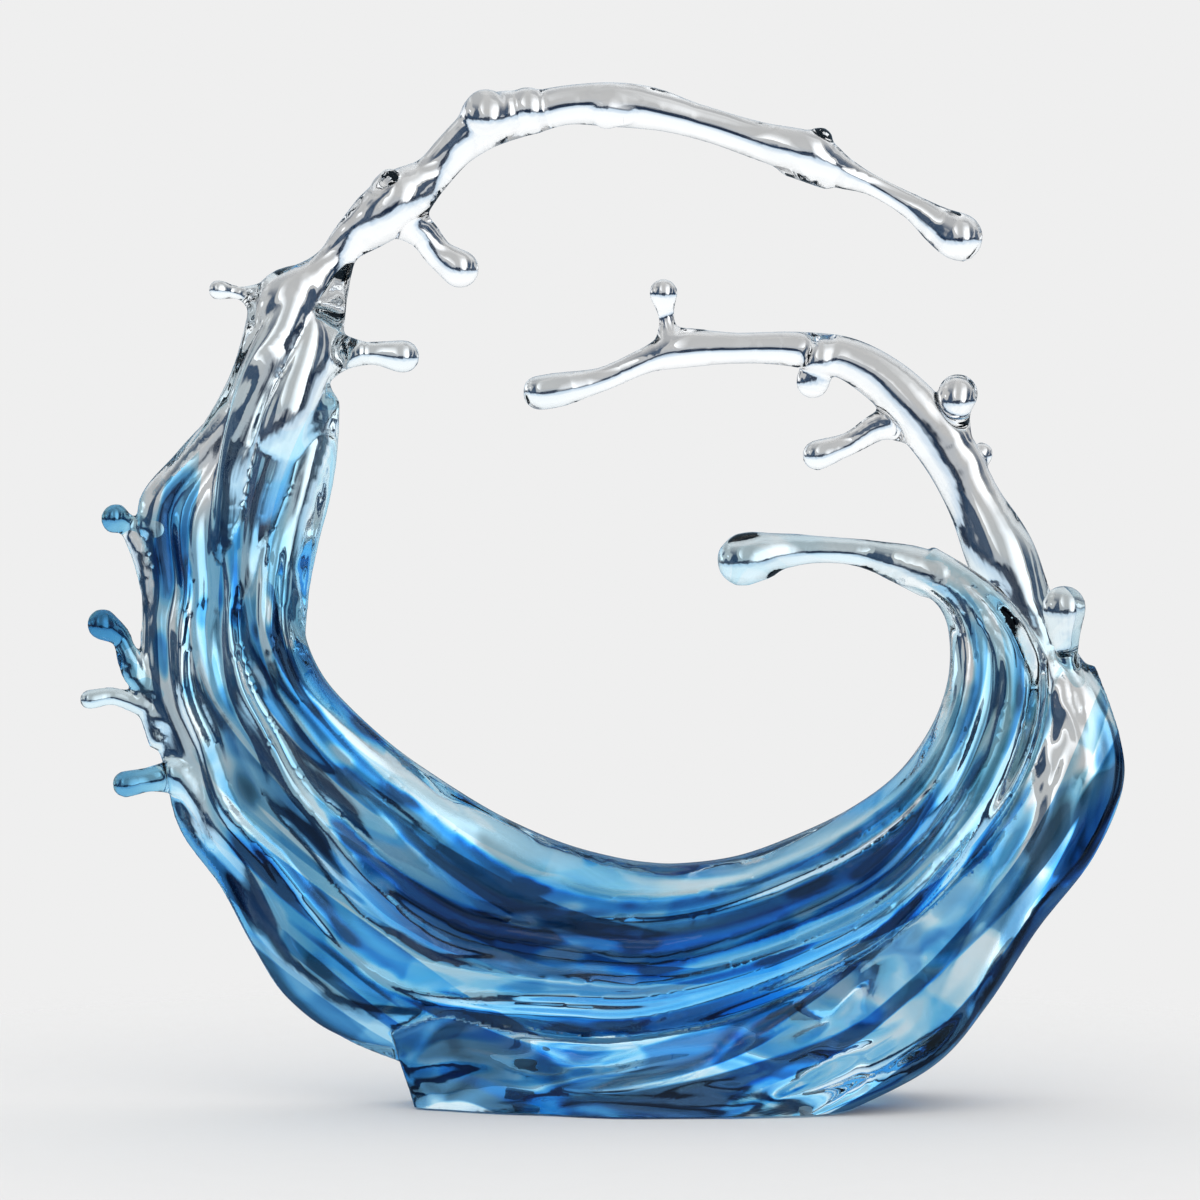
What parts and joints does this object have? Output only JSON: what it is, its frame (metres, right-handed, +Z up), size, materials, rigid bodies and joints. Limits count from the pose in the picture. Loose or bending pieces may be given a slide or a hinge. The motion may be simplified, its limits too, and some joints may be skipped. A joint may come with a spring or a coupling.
{
  "type": "resin wave sculpture",
  "caption": "Free-standing ornament: a breaking wave curled into an open ring, clear at the crest and deep blue at the foot, with droplet-tipped arms.",
  "frame": {"origin": "on the table, under the middle of the sculpture's bounding box", "axes": "+Z up, +Y towards the back, so the viewer's side is -Y and +X is the viewer's right"},
  "size_m": [0.472, 0.1036, 0.4602],
  "materials": {
    "clear_resin": "polished clear cast resin, faint cool tint",
    "blue_resin": "polished cast resin tinted azure, fading to clear upwards",
    "deep_blue_resin": "polished cast resin tinted cobalt",
    "pad_silicone": "translucent silicone, satin"
  },
  "bodies": {
    "root": {"foot_block": "deep_blue_resin", "right_shell": "blue_resin", "wave_wall": "blue_resin", "inner_feather": "blue_resin", "left_ball_upper": "blue_resin", "left_ball_middle": "blue_resin", "left_horn": "blue_resin", "left_droplet_lower": "blue_resin", "crest_arm": "clear_resin", "crest_knuckle": "clear_resin", "crest_tendril": "clear_resin", "right_arm_root": "clear_resin", "right_arm_span": "clear_resin", "lip_tendril": "clear_resin", "neck_droplet_left": "clear_resin", "neck_droplet_right": "clear_resin", "crest_droplet_low": "clear_resin", "crest_droplet_ring": "clear_resin", "crest_knob_upper": "clear_resin", "crest_bead": "clear_resin", "arm_droplet_up": "clear_resin", "arm_droplet_rear": "clear_resin", "arm_droplet_inner": "clear_resin", "arm_droplet_outer": "clear_resin", "arm_droplet_outer_rear": "clear_resin", "rim_teardrop": "clear_resin", "base_pad_1": "pad_silicone", "base_pad_2": "pad_silicone", "base_pad_3": "pad_silicone", "base_pad_4": "pad_silicone"}
  },
  "joints": []
}
